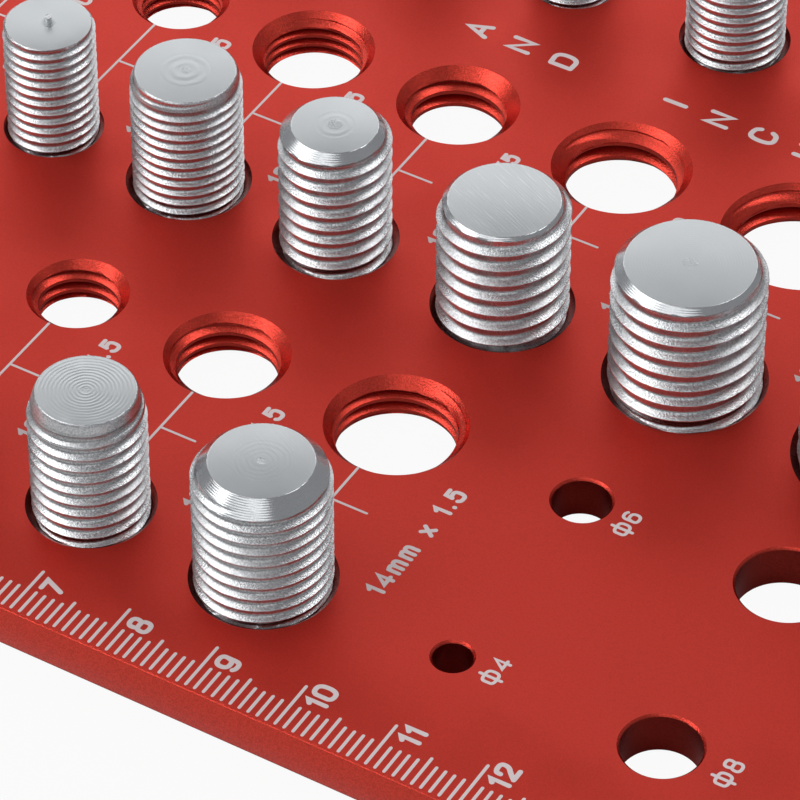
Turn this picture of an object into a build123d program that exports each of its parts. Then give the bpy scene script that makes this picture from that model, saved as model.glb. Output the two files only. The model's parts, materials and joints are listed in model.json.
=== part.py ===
"""Thread checker: a flat plate with pairs of a tapped hole and a stud of the same thread, four
plain gauge holes and a ruled edge.

The plate lies on its back. X runs along the ruled edge, Y inward from it and Z up, from the middle
of the back face. Threads are left plain: a stud is drawn at its major diameter and a tapped hole at
its minor diameter.
"""

import os
from dataclasses import dataclass
from math import sqrt

from build123d import *

# Plate blank
plate_length = 150.0
plate_width = 200.0
plate_thickness = 5.0
corner_radius = 3.0
edge_break = 0.3

# Column centres, from the zero end of the ruled edge
first_column = 17.3
column_steps = [16.2, 17.0, 18.1, 20.0, 21.3, 22.8]

# Rows of studs, from the ruled edge. Each stud's hole lies one pair step further in.
first_row = 16.9
pair_step = 25.1
row_step = 21.1
title_band = 25.1

# Countersinks, all cut at a right angle
countersink_angle = 90.0
rim_allowance = 1.0
gauge_rim_allowance = 0.5

# Studs: a plain foot, turned down under the thread, sits in the plate
major_allowance = 0.2
foot_relief = 0.3
foot_clearance = 0.03
foot_chamfer = 0.4
foot_recess = 0.1
stand_height = 15.0
face_allowance = 0.4
nib_radius = 0.4
nib_height = 0.9

# ISO thread form: depth of an internal thread over its pitch
thread_depth = 5 * sqrt(3) / 16
inch = 25.4


@dataclass(frozen=True)
class Pair:
    """A tapped hole and the stud beside it.

    stand is how far the stud stands over the plate and face is the diameter of its top face. rim
    is the diameter of the countersinks round the hole and the stud, and back_rim that of the
    hole's countersink on the back.
    """

    name: str
    column: int
    row: int
    diameter: float
    pitch: float
    stand: float
    face: float
    rim: float
    back_rim: float
    has_nib: bool = False

    @property
    def minor_diameter(self):
        return self.diameter - 2 * thread_depth * self.pitch

    @property
    def major_radius(self):
        return (self.diameter - major_allowance) / 2

    @property
    def foot_radius(self):
        return self.major_radius - foot_relief


METRIC_PAIRS = [
    Pair("m6x1_0", 0, 0, 6.0, 1.0, 15.0, 4.5, 7.0, 6.0),
    Pair("m8x1_25", 1, 0, 8.0, 1.25, 15.0, 6.2, 8.9, 8.0),
    Pair("m10x1_5", 2, 0, 10.0, 1.5, 15.0, 8.0, 10.7, 9.95),
    Pair("m12x1_5", 3, 0, 12.0, 1.5, 15.0, 9.9, 13.1, 12.2),
    Pair("m14x1_5", 4, 0, 14.0, 1.5, 15.4, 10.4, 14.8, 13.8),
    Pair("m8x1_0", 0, 1, 8.0, 1.0, 15.0, 6.5, 8.9, 8.0),
    Pair("m10x1_25", 1, 1, 10.0, 1.25, 13.9, 9.0, 10.7, 9.4, has_nib=True),
    Pair("m12x1_25", 2, 1, 12.0, 1.25, 14.7, 10.45, 13.3, 11.0),
    Pair("m12x1_75", 3, 1, 12.0, 1.75, 15.2, 8.95, 13.3, 10.75),
    Pair("m14x2_0", 4, 1, 14.0, 2.0, 14.0, 11.5, 15.0, 14.0),
    Pair("m16x2_0", 5, 1, 16.0, 2.0, 15.2, 13.25, 17.0, 16.0),
    Pair("m18x2_5", 6, 1, 18.0, 2.5, 15.0, 14.9, 19.1, 18.0),
]

# Inch sizes: diameter in inches, then threads per inch in the fine row and in the coarse row
INCH_SIZES = [
    ("n10", 0.19, 32, 24),
    ("1_4", 1 / 4, 28, 20),
    ("5_16", 5 / 16, 24, 18),
    ("3_8", 3 / 8, 24, 16),
    ("7_16", 7 / 16, 20, 14),
    ("1_2", 1 / 2, 20, 13),
    ("9_16", 9 / 16, 18, 12),
]



@dataclass(frozen=True)
class Gauge:
    """A plain gauge hole, in the place of a stud or of a tapped hole of the first row."""

    column: int
    is_hole: bool
    diameter: float


GAUGES = [
    Gauge(5, False, 4.0),
    Gauge(5, True, 6.0),
    Gauge(6, False, 8.0),
    Gauge(6, True, 10.0),
]


def inch_pair(stem, column, row, size, per_inch):
    diameter = size * inch
    pitch = inch / per_inch
    face = diameter - 2 * thread_depth * pitch - face_allowance
    name = f"{stem}_{per_inch}"
    return Pair(
        name, column, row, diameter, pitch, stand_height, face, diameter + rim_allowance, diameter
    )


PAIRS = METRIC_PAIRS + [
    inch_pair(stem, column, row, size, per_inch)
    for column, (stem, size, fine, coarse) in enumerate(INCH_SIZES)
    for row, per_inch in ((2, fine), (3, coarse))
]


def place(column, row, is_hole):
    """Centre of a stud, or of the hole paired with it, seen from the middle of the plate."""
    x = first_column + sum(column_steps[:column]) - plate_length / 2
    y = first_row + row * (pair_step + row_step) - plate_width / 2
    if row >= 2:
        y += title_band - row_step
    if is_hole:
        y += pair_step
    return x, y


with BuildPart() as plate:
    with BuildSketch():
        RectangleRounded(plate_length, plate_width, corner_radius)
    extrude(amount=plate_thickness)
    chamfer(plate.faces().filter_by(Axis.Z).edges(), edge_break)
    # Tapped holes, countersunk on both faces
    for pair in PAIRS:
        x, y = place(pair.column, pair.row, is_hole=True)
        tap_radius = pair.minor_diameter / 2
        with Locations((x, y, plate_thickness)):
            CounterSinkHole(tap_radius, pair.rim / 2, counter_sink_angle=countersink_angle)
        with Locations(Location((x, y, 0), (180, 0, 0))):
            CounterSinkHole(tap_radius, pair.back_rim / 2, counter_sink_angle=countersink_angle)
    # Seats for the studs, countersunk round the thread
    for pair in PAIRS:
        x, y = place(pair.column, pair.row, is_hole=False)
        seat_radius = pair.foot_radius + foot_clearance
        with Locations((x, y, plate_thickness)):
            CounterSinkHole(seat_radius, pair.rim / 2, counter_sink_angle=countersink_angle)
    # Plain gauge holes, with both rims broken
    for gauge in GAUGES:
        x, y = place(gauge.column, 0, gauge.is_hole)
        radius = gauge.diameter / 2
        rim_radius = radius + gauge_rim_allowance / 2
        with Locations((x, y, plate_thickness)):
            CounterSinkHole(radius, rim_radius, counter_sink_angle=countersink_angle)
        with Locations(Location((x, y, 0), (180, 0, 0))):
            CounterSinkHole(radius, rim_radius, counter_sink_angle=countersink_angle)
plate.part.label = "plate"


def make_stud(pair):
    """A stud, turned about its own axis: foot, threaded length, end chamfer and top face."""
    x, y = place(pair.column, pair.row, is_hole=False)
    top = plate_thickness + pair.stand
    chamfer_depth = pair.major_radius - pair.face / 2
    with BuildPart() as stud:
        with BuildSketch(Plane(origin=(x, y, 0), x_dir=(1, 0, 0), z_dir=(0, -1, 0))):
            with BuildLine():
                Polyline(
                    (0, foot_recess),
                    (pair.foot_radius - foot_chamfer, foot_recess),
                    (pair.foot_radius, foot_recess + foot_chamfer),
                    (pair.foot_radius, plate_thickness),
                    (pair.major_radius, plate_thickness),
                    (pair.major_radius, top - chamfer_depth),
                    (pair.face / 2, top),
                    (0, top),
                    close=True,
                )
            make_face()
        revolve(axis=Axis((x, y, 0), (0, 0, 1)))
        if pair.has_nib:
            # Pip left by the lathe where the bar was parted
            with BuildSketch(Plane.XY.offset(top)):
                with Locations((x, y)):
                    Circle(nib_radius)
            extrude(amount=nib_height)
    stud.part.label = f"stud_{pair.name}"
    return stud


os.makedirs("parts", exist_ok=True)
export_step(plate.part, "parts/plate.step")
for pair in PAIRS:
    stud = make_stud(pair)
    export_step(stud.part, f"parts/{stud.part.label}.step")
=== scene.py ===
"""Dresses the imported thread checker: cut threads, marks, finishes, camera and light.

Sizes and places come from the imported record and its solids. Lengths are in millimetres until a mesh
is finished, when it is scaled to metres.
"""

import json
import logging
import math
from dataclasses import asdict, dataclass, field
from enum import Enum, IntEnum
from typing import Callable, Iterable, Sequence

import bmesh
import bpy
from mathutils import Matrix, Vector, noise

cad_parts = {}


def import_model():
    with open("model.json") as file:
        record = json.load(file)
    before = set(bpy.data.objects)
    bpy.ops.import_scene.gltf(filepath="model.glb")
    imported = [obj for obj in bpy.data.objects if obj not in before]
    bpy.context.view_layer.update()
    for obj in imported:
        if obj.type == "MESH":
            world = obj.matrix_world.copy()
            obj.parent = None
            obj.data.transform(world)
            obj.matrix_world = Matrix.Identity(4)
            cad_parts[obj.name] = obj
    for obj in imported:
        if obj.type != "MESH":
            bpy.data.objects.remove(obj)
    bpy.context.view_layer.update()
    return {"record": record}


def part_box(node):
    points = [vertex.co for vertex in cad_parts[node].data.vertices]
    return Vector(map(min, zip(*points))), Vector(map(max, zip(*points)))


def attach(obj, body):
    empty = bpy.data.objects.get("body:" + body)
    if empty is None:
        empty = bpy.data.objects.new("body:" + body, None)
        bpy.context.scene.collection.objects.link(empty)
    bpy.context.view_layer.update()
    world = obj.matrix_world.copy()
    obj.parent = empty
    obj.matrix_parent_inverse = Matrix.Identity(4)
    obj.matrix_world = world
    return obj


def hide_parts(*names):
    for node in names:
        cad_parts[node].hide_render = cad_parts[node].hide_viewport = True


log = logging.getLogger("thread_checker")

MM = 0.001
INCH = 25.4
FULL_TURN = 2 * math.pi

# How the record's mounts and nodes are named, before their size
TAP = "tap"
STUD = "stud"
GAUGE = "gauge"

# Vertex attributes: depth in a groove or hole, which sets painted shade, and place from the middle of
# a stud's end
PAINTED_SHADE_LAYER = "root"
PLACE_LAYER = "local"

Point = tuple[float, float]
Colour = tuple[float, float, float]


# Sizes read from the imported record


@dataclass(frozen=True)
class RoundMount:
    """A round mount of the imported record, in millimetres."""

    x: float
    y: float
    z: float
    radius: float
    length: float

    @property
    def low(self) -> float:
        """Height of the wall's lower end."""
        return self.z - self.length / 2

    @property
    def high(self) -> float:
        """Height of the wall's upper end."""
        return self.z + self.length / 2


def round_mounts(record: dict) -> dict[str, RoundMount]:
    """Reads the round mounts of the record.

    Args:
        record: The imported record.

    Returns:
        Each round mount by its name.
    """
    found = {}
    for mount in record["mounts"]:
        if "r_mm" in mount["dims"]:
            x, y, z = (value / MM for value in mount["pos_m"])
            found[mount["name"]] = RoundMount(
                x, y, z, mount["dims"]["r_mm"], mount["dims"]["length_mm"]
            )
    return found


@dataclass(frozen=True)
class ThreadSize:
    """A thread size as its node is named: m12x1_5 in millimetres, or 3_8_24 in inches."""

    name: str

    @property
    def is_metric(self) -> bool:
        """Whether the size is a metric one."""
        return self.name.startswith("m")

    @property
    def pitch(self) -> float:
        """Pitch in millimetres."""
        if self.is_metric:
            return float(self.name.split("x")[1].replace("_", "."))
        return INCH / float(self.name.split("_")[-1])

    @property
    def label(self) -> str:
        """The size as it is marked on the plate."""
        if self.is_metric:
            diameter, pitch = self.name[1:].split("x")
            return f"{diameter}mm x {pitch.replace('_', '.')}"
        *size, per_inch = self.name.split("_")
        if size[0].startswith("n"):
            return f"#{size[0][1:]} x {per_inch}"
        return f'{"/".join(size)}" x {per_inch}'


# Meshes

# The angle past which an edge stays sharp
SHARP_ANGLE = math.radians(30)

# Distances within which points lie level, snap to a cut, or merge on a cut or on a sweep's seam
LEVEL = 1e-4
CUT_SNAP = 0.0002
CUT_MERGE = 0.002
SEAM_MERGE = 0.0005

# How upright the normal of a level face is, and at least that of a broken edge
LEVEL_NORMAL = 0.99
SLOPED_NORMAL = 0.1


def new_piece(name: str, bm: bmesh.types.BMesh,
              materials: Sequence[bpy.types.Material]) -> bpy.types.Object:
    """Turns a bmesh in millimetres into an object in metres.

    Args:
        name: The piece's name.
        bm: The mesh, which is freed.
        materials: The material slots, in order.

    Returns:
        The linked object.
    """
    bmesh.ops.scale(bm, vec=(MM, MM, MM), verts=bm.verts)
    mesh = bpy.data.meshes.new(name)
    bm.to_mesh(mesh)
    bm.free()
    for material in materials:
        mesh.materials.append(material)
    mesh.shade_smooth()
    mesh.set_sharp_from_angle(angle=SHARP_ANGLE)
    piece = bpy.data.objects.new(name, mesh)
    bpy.context.scene.collection.objects.link(piece)
    return piece


def join(bm: bmesh.types.BMesh, part: bmesh.types.BMesh) -> None:
    """Adds one mesh to another.

    Args:
        bm: The mesh to add to.
        part: The mesh to add, which is freed.
    """
    mesh = bpy.data.meshes.new("part")
    part.to_mesh(mesh)
    part.free()
    bm.from_mesh(mesh)
    bpy.data.meshes.remove(mesh)


def sweep(bm: bmesh.types.BMesh, profile: Sequence[Point], steps: int, rise: float = 0.0,
          start: float = 0.0) -> list[bmesh.types.BMVert]:
    """Sweeps a profile one turn about Z, along a right-hand screw if it rises, and closes its seam.

    Args:
        bm: The mesh to add to.
        profile: Radius and height of each point. On a screw it repeats with the rise.
        steps: Segments in a turn.
        rise: How far the profile climbs in the turn.
        start: The angle where the profile starts, in radians.

    Returns:
        The swept vertices.
    """
    before = set(bm.verts)
    line = [bm.verts.new((radius, 0, z)) for radius, z in profile]
    edges = [bm.edges.new(pair) for pair in zip(line, line[1:])]
    bmesh.ops.rotate(bm, verts=line, matrix=Matrix.Rotation(start, 3, "Z"))
    bmesh.ops.spin(
        bm,
        geom=line + edges,
        cent=(0, 0, 0),
        axis=(0, 0, 1),
        dvec=(0, 0, rise / steps),
        angle=FULL_TURN,
        steps=steps,
        use_merge=not rise,
    )
    swept = [vert for vert in bm.verts if vert not in before]
    bmesh.ops.remove_doubles(bm, verts=swept, dist=SEAM_MERGE)
    return [vert for vert in bm.verts if vert not in before]


def hold_radius(verts: Iterable[bmesh.types.BMVert],
                limit: Callable[[float, Vector], float]) -> None:
    """Moves vertices in or out to the radius that a rule gives.

    Args:
        verts: The vertices, about the Z axis.
        limit: Takes a vertex's radius and place and gives its new radius.
    """
    for vert in verts:
        radius = math.hypot(vert.co.x, vert.co.y)
        share = limit(radius, vert.co) / radius
        vert.co.x *= share
        vert.co.y *= share


def store_painted_shade(bm: bmesh.types.BMesh, depth: Callable[[Vector], float]) -> None:
    """Stores how deep in a groove or a hole each vertex lies, which darkens it with painted shade.

    Args:
        bm: The mesh, about the Z axis.
        depth: Takes a vertex's place and gives its depth, which is held between 0 and 1.
    """
    layer = bm.verts.layers.float.new(PAINTED_SHADE_LAYER)
    for vert in bm.verts:
        vert[layer] = min(max(depth(vert.co), 0.0), 1.0)


def trim(bm: bmesh.types.BMesh, verts: Iterable[bmesh.types.BMVert], height: float,
         keeps_below: bool) -> list[bmesh.types.BMVert]:
    """Cuts a swept wall level at a height.

    Args:
        bm: The mesh.
        verts: The wall's vertices.
        height: Where to cut.
        keeps_below: Whether the part below the cut stays.

    Returns:
        The vertices that are left, with those of the cut.
    """
    kept = {vert for vert in verts if vert.is_valid}
    edges = {edge for vert in kept for edge in vert.link_edges}
    faces = {face for vert in kept for face in vert.link_faces}
    cut = bmesh.ops.bisect_plane(
        bm,
        geom=list(kept) + list(edges) + list(faces),
        dist=CUT_SNAP,
        plane_co=(0, 0, height),
        plane_no=(0, 0, 1 if keeps_below else -1),
        clear_outer=True,
    )
    rim = [item for item in cut["geom_cut"] if isinstance(item, bmesh.types.BMVert)]
    for vert in rim:
        vert.co.z = height
    bmesh.ops.remove_doubles(bm, verts=rim, dist=CUT_MERGE)
    return [vert for vert in kept | set(rim) if vert.is_valid]


def rim_edges(bm: bmesh.types.BMesh, height: float) -> list[bmesh.types.BMEdge]:
    """Finds the open edges that lie at a height.

    Args:
        bm: The mesh.
        height: The height of the rim.

    Returns:
        The edges.
    """
    return [
        edge for edge in bm.edges
        if edge.is_boundary and all(abs(vert.co.z - height) < LEVEL for vert in edge.verts)
    ]


# Threads

# The flanks' slope, and how far along the curve of a root its points lie
FLANK_ANGLE = math.radians(30)
ROOT_CURVE = (0.0, 0.35, 0.7, 1.0)

# The longest segment of a near thread's section, and the share of it that one may be longer
NEAR_STEP = 0.2
STEP_SLACK = 0.001


@dataclass(frozen=True)
class ThreadForm:
    """A 60 degree thread with a round root. Its depth and the width and rounding of its crests are
    shares of the pitch. The straight share is how much of a flank is straight, and the root share
    how far the rest curves in towards the middle of the root."""

    pitch: float
    depth_share: float
    crest_share: float
    straight_share: float
    root_share: float
    rounding: float = 0.02

    @property
    def depth(self) -> float:
        """Depth from crest to root."""
        return self.depth_share * self.pitch

    def offsets(self) -> list[Point]:
        """Draws one pitch, as depth below the crest and height over its middle.

        Returns:
            The points, from the crest's upper edge up to the next crest's lower edge.
        """
        slope = math.tan(FLANK_ANGLE)
        crest = self.crest_share * self.pitch / 2
        soft = self.rounding * self.pitch
        bend = self.straight_share * self.depth
        start = (bend, crest + bend * slope)
        knee = (self.depth, crest + self.depth * slope)
        root = (self.depth, knee[1] + self.root_share * (self.pitch / 2 - knee[1]))
        upper = [(0.0, crest - soft), (0.5 * soft, crest + 0.2 * soft)]
        for share in ROOT_CURVE:
            upper.append(tuple(
                (1 - share) ** 2 * a + 2 * share * (1 - share) * b + share**2 * c
                for a, b, c in zip(start, knee, root)
            ))
        upper.append((self.depth, self.pitch / 2))
        lower = [(depth, self.pitch - z) for depth, z in reversed(upper[:-1])]
        return upper + lower

    def profile(self, crest_radius: float, inward: float, low: float, high: float,
                crest_z: float) -> list[Point]:
        """Draws the thread's section from below low to above high.

        Args:
            crest_radius: Radius of the crests.
            inward: 1 where the thread cuts into a stud, -1 where it cuts out into a wall.
            low: The lowest height that the swept thread covers.
            high: The highest height that the swept thread covers.
            crest_z: Height of one crest's middle, at the start of the sweep.

        Returns:
            Radius and height of each point, upwards.
        """
        first = math.floor((low - crest_z) / self.pitch) - 1
        last = math.ceil((high - crest_z) / self.pitch) + 1
        return [
            (crest_radius - inward * depth, crest_z + turn * self.pitch + z)
            for turn in range(first, last)
            for depth, z in self.offsets()
        ]


def cut_thread(size: ThreadSize, depth_share: float, root_share: float) -> ThreadForm:
    """Gives the thread of a stud.

    Args:
        size: The thread size.
        depth_share: Depth of its grooves over their pitch.
        root_share: How far its flanks curve in towards the middle of the root.

    Returns:
        Its form.
    """
    return ThreadForm(
        size.pitch, depth_share, crest_share=0.06, straight_share=0.5, root_share=root_share
    )


def tapped_thread(size: ThreadSize) -> ThreadForm:
    """Gives the thread of a tapped hole, whose crests are at its minor diameter.

    Args:
        size: The thread size.

    Returns:
        Its form.
    """
    return ThreadForm(
        size.pitch, depth_share=0.54, crest_share=0.26, straight_share=0.7, root_share=0.55
    )


def finer(profile: Sequence[Point]) -> list[Point]:
    """Splits the long segments of a near thread's profile, in the same way at every pitch.

    Args:
        profile: The points, upwards.

    Returns:
        The finer profile.
    """
    made = [profile[0]]
    for (r0, z0), (r1, z1) in zip(profile, profile[1:]):
        length = math.hypot(r1 - r0, z1 - z0)
        parts = math.ceil(length / NEAR_STEP - STEP_SLACK)
        made += [
            (r0 + (r1 - r0) * part / parts, z0 + (z1 - z0) * part / parts)
            for part in range(1, parts + 1)
        ]
    return made


# Shading

# How deep the painted shade in a groove or hole starts, and how much brighter a scratch is
GROOVE_SHADE_START = 0.3
SCRATCH_SHINE = 1.3


class NodeTree:
    """Adds and joins the nodes of one shader tree."""

    def __init__(self, tree: bpy.types.NodeTree) -> None:
        """Starts on a tree.

        Args:
            tree: A material's tree or a node group.
        """
        self.tree = tree

    def add(self, kind: str, inputs: dict[str | int, object] | None = None,
            **settings: object) -> bpy.types.Node:
        """Adds a node.

        Args:
            kind: The node's type, without its ShaderNode prefix.
            inputs: A value or an output for each input, by its name or number.
            settings: The node's own properties.

        Returns:
            The node.
        """
        node = self.tree.nodes.new(f"ShaderNode{kind}")
        for name, value in settings.items():
            setattr(node, name, value)
        for name, value in (inputs or {}).items():
            self.put(node, name, value)
        return node

    def put(self, node: bpy.types.Node, name: str | int, value: object) -> None:
        """Sets or links one input of a node.

        Args:
            node: The node.
            name: The input's name, or its number.
            value: A value, or the output to link.
        """
        if isinstance(value, bpy.types.NodeSocket):
            self.tree.links.new(value, node.inputs[name])
        else:
            node.inputs[name].default_value = value

    def math(self, operation: str, *values: object) -> bpy.types.NodeSocket:
        """Adds a Math node.

        Args:
            operation: What it does.
            values: Its inputs, in order.

        Returns:
            Its output.
        """
        return self.add("Math", dict(enumerate(values)), operation=operation).outputs[0]

    def vector(self, operation: str, *values: object) -> bpy.types.Node:
        """Adds a Vector Math node.

        Args:
            operation: What it does.
            values: Its inputs, in order.

        Returns:
            The node, with the outputs Vector and Value.
        """
        return self.add("VectorMath", dict(enumerate(values)), operation=operation)

    def scaled(self, value: object, scale: object) -> bpy.types.NodeSocket:
        """Multiplies a vector or a colour by a number.

        Args:
            value: The vector or colour.
            scale: The number.

        Returns:
            The scaled vector or colour.
        """
        node = self.vector("SCALE", value)
        self.put(node, "Scale", scale)
        return node.outputs["Vector"]

    def ramp(self, value: bpy.types.NodeSocket, low: float, high: float, to_low: float = 0.0,
             to_high: float = 1.0) -> bpy.types.NodeSocket:
        """Maps a value from one range to another, clamped.

        Args:
            value: The value.
            low: Where the range starts.
            high: Where it ends.
            to_low: What its start becomes.
            to_high: What its end becomes.

        Returns:
            The mapped value.
        """
        node = self.add("MapRange", {
            "Value": value, "From Min": low, "From Max": high, "To Min": to_low, "To Max": to_high,
        })
        return node.outputs["Result"]

    def noise(self, place: bpy.types.NodeSocket, scale: object, detail: float,
              roughness: float = 0.5) -> bpy.types.NodeSocket:
        """Adds a noise texture.

        Args:
            place: Where it is read.
            scale: Its scale.
            detail: Its octaves.
            roughness: How strong the finer octaves are.

        Returns:
            Its value.
        """
        node = self.add("TexNoise", {
            "Vector": place, "Scale": scale, "Detail": detail, "Roughness": roughness,
        })
        return node.outputs["Fac"]


class NodeGroup(NodeTree):
    """A shader node group with named inputs and outputs."""

    def __init__(self, name: str, inputs: dict[str, tuple[str, object]],
                 outputs: dict[str, str]) -> None:
        """Makes the group's interface.

        Args:
            name: The group's name.
            inputs: The socket type and default of each input.
            outputs: The socket type of each output.
        """
        super().__init__(bpy.data.node_groups.new(name, "ShaderNodeTree"))
        for label, (kind, value) in inputs.items():
            socket = self.tree.interface.new_socket(
                name=label, in_out="INPUT", socket_type=f"NodeSocket{kind}"
            )
            socket.default_value = value
        for label, kind in outputs.items():
            self.tree.interface.new_socket(
                name=label, in_out="OUTPUT", socket_type=f"NodeSocket{kind}"
            )
        self.given = self.tree.nodes.new("NodeGroupInput").outputs
        self.result = self.tree.nodes.new("NodeGroupOutput")

    def use(self, tree: NodeTree, **inputs: object) -> bpy.types.Node:
        """Puts the group in another tree.

        Args:
            tree: The tree.
            inputs: A value or an output for each input, in small letters and with _ for a space.

        Returns:
            The group's node there.
        """
        node = tree.tree.nodes.new("ShaderNodeGroup")
        node.node_tree = self.tree
        for name, value in inputs.items():
            tree.put(node, name.replace("_", " ").capitalize(), value)
        return node


def make_grain() -> NodeGroup:
    """Makes the group for a fine, uneven surface: blasted, plated or freshly cut.

    Returns:
        The group, with the outputs Height, Blotch and Speckle, which is 0 in the pits.
    """
    group = NodeGroup(
        "grain",
        {
            "Place": ("Vector", (0, 0, 0)),
            "Size": ("Float", 0.1),
            "Height": ("Float", 0.005),
            "Blotch size": ("Float", 10.0),
        },
        {"Height": "Float", "Blotch": "Float", "Speckle": "Float"},
    )
    given = group.given
    fine = group.noise(given["Place"], group.math("DIVIDE", 1.0, given["Size"]), 3.0, 0.6)
    wide = group.noise(given["Place"], group.math("DIVIDE", 1.0, given["Blotch size"]), 3.0)
    height = group.math("MULTIPLY", group.math("SUBTRACT", fine, 0.5), given["Height"])
    group.put(group.result, "Height", height)
    group.put(group.result, "Blotch", group.ramp(wide, 0.3, 0.7))
    group.put(group.result, "Speckle", group.ramp(fine, 0.38, 0.58))
    return group


def make_turning() -> NodeGroup:
    """Makes the group for the marks that a lathe leaves on a stud's end.

    Returns:
        The group, with the outputs Height and Scratch, which is 1 in a bright scratch.
    """
    group = NodeGroup(
        "turning",
        {
            "Local": ("Vector", (0, 0, 0)),
            "Ring pitch": ("Float", 0.35),
            "Ring height": ("Float", 0.01),
            "Mark radius": ("Float", 0.0),
            "Mark height": ("Float", 0.05),
            "Scratch height": ("Float", 0.0),
            "Waver": ("Float", 0.3),
            "Reach": ("Float", 9.0),
        },
        {"Height": "Float", "Scratch": "Float"},
    )
    given = group.given
    flat = group.vector("MULTIPLY", given["Local"], (1, 1, 0)).outputs["Vector"]
    radius = group.vector("LENGTH", flat).outputs["Value"]
    # Rings waver, differ in strength from place to place, and end at their reach
    waver = group.math("MULTIPLY", group.noise(flat, 0.8, 1.0), given["Waver"])
    phase = group.math("ADD", group.math("DIVIDE", radius, given["Ring pitch"]), waver)
    wave = group.math("SINE", group.math("MULTIPLY", phase, FULL_TURN))
    strength = group.ramp(group.noise(flat, 0.45, 2.0), 0.3, 0.7, 0.35, 1.0)
    within = group.ramp(group.math("SUBTRACT", radius, given["Reach"]), 0.0, 0.3, 1.0, 0.0)
    strength = group.math("MULTIPLY", strength, within)
    rings = group.math("MULTIPLY", group.math("MULTIPLY", wave, strength), given["Ring height"])
    # The ragged mark in the middle
    mark = group.math("SUBTRACT", given["Mark radius"], radius)
    ragged = group.math("ADD", mark, group.math("MULTIPLY", group.noise(flat, 3.0, 3.0), 0.5))
    inside = group.ramp(ragged, 0.2, 0.4)
    crumbs = group.math("MULTIPLY", group.noise(flat, 5.0, 3.0, 0.7), given["Mark height"])
    # Scratches, all in one direction
    turned = group.add(
        "VectorRotate", {"Vector": given["Local"], "Angle": math.radians(25)},
        rotation_type="Z_AXIS",
    ).outputs[0]
    stretched = group.vector("MULTIPLY", turned, (0.22, 5.0, 1.0)).outputs["Vector"]
    cut = group.noise(stretched, 1.0, 4.0, 0.65)
    scratches = group.math("MULTIPLY", cut, given["Scratch height"])
    bright = group.math(
        "MULTIPLY", group.ramp(cut, 0.58, 0.66), group.ramp(given["Scratch height"], 0.01, 0.03)
    )
    plain = group.math("ADD", rings, scratches)
    outside = group.math("MULTIPLY", plain, group.math("SUBTRACT", 1.0, inside))
    height = group.math("ADD", outside, group.math("MULTIPLY", crumbs, inside))
    group.put(group.result, "Height", height)
    group.put(group.result, "Scratch", bright)
    return group


@dataclass(frozen=True)
class Finish:
    """The look of a surface. Sizes are in millimetres. The speckle is how much darker the grain's
    pits are, the blotch how far the roughness strays, and the root how much painted shade darkens it
    deep in a groove or hole."""

    base: Colour
    metallic: float
    roughness: float
    grain_size: float
    grain_height: float
    speckle: float = 0.0
    blotch_size: float = 8.0
    blotch: float = 0.06
    root: float = 0.0


RED_PLATE = Finish(
    (0.73, 0.053, 0.034), metallic=0.74, roughness=0.45, grain_size=0.15, grain_height=0.012,
    speckle=0.10,
)
# The cut's root is painted shade in its grooves, seats and gauge holes
RED_CUT = Finish(
    (0.84, 0.076, 0.050), metallic=0.95, roughness=0.25, grain_size=0.18, grain_height=0.036,
    speckle=0.24, root=0.65,
)
# The thread's root is painted shade at the bottoms of its grooves
ZINC_THREAD = Finish(
    (0.80, 0.815, 0.83), metallic=1.0, roughness=0.26, grain_size=0.18, grain_height=0.036,
    speckle=0.32, root=0.28,
)
ZINC_CHAMFER = Finish(
    (0.72, 0.745, 0.76), metallic=1.0, roughness=0.20, grain_size=0.12, grain_height=0.006,
    speckle=0.08,
)
ZINC_END = Finish(
    (0.67, 0.70, 0.71), metallic=1.0, roughness=0.42, grain_size=0.10, grain_height=0.006,
    speckle=0.06,
)
PALE_MARK = Finish(
    (0.82, 0.71, 0.71), metallic=0.0, roughness=0.55, grain_size=0.12, grain_height=0.006
)


@dataclass(frozen=True)
class TurningMarks:
    """The marks that a lathe leaves, in millimetres. Rings waver by a share of their pitch and reach
    out to a radius, and a ragged mark stands in the middle."""

    ring_pitch: float
    ring_height: float
    mark_radius: float = 0.0
    mark_height: float = 0.0
    scratch_height: float = 0.0
    waver: float = 0.3
    reach: float = 9.0


class EndLook(Enum):
    """How a stud's end or chamfer was left by the lathe."""

    PLAIN = TurningMarks(0.45, 0.0015)
    NIB = TurningMarks(0.6, 0.0006, 0.7, 0.10)
    RING_MARK = TurningMarks(1.1, 0.018, 0.45, 0.08, 0.004, waver=0.35, reach=2.5)
    PIP = TurningMarks(0.9, 0.010, 0.75, 0.20, 0.006, waver=0.4, reach=2.0)
    SCRATCHED = TurningMarks(0.5, 0.001, 0.3, 0.03, 0.026, waver=0.4)
    FINE_RINGS = TurningMarks(0.3, 0.002, 0.75, 0.14, 0.004, waver=0.4)
    WIDE_RINGS = TurningMarks(0.40, 0.014, 0.3, 0.08, 0.004, waver=0.5)
    SWIRL = TurningMarks(0.55, 0.0026, 0.4, 0.09, 0.008, waver=0.9, reach=2.8)
    CHAMFER = TurningMarks(0.17, 0.0025, waver=0.1, reach=99.0)


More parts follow.
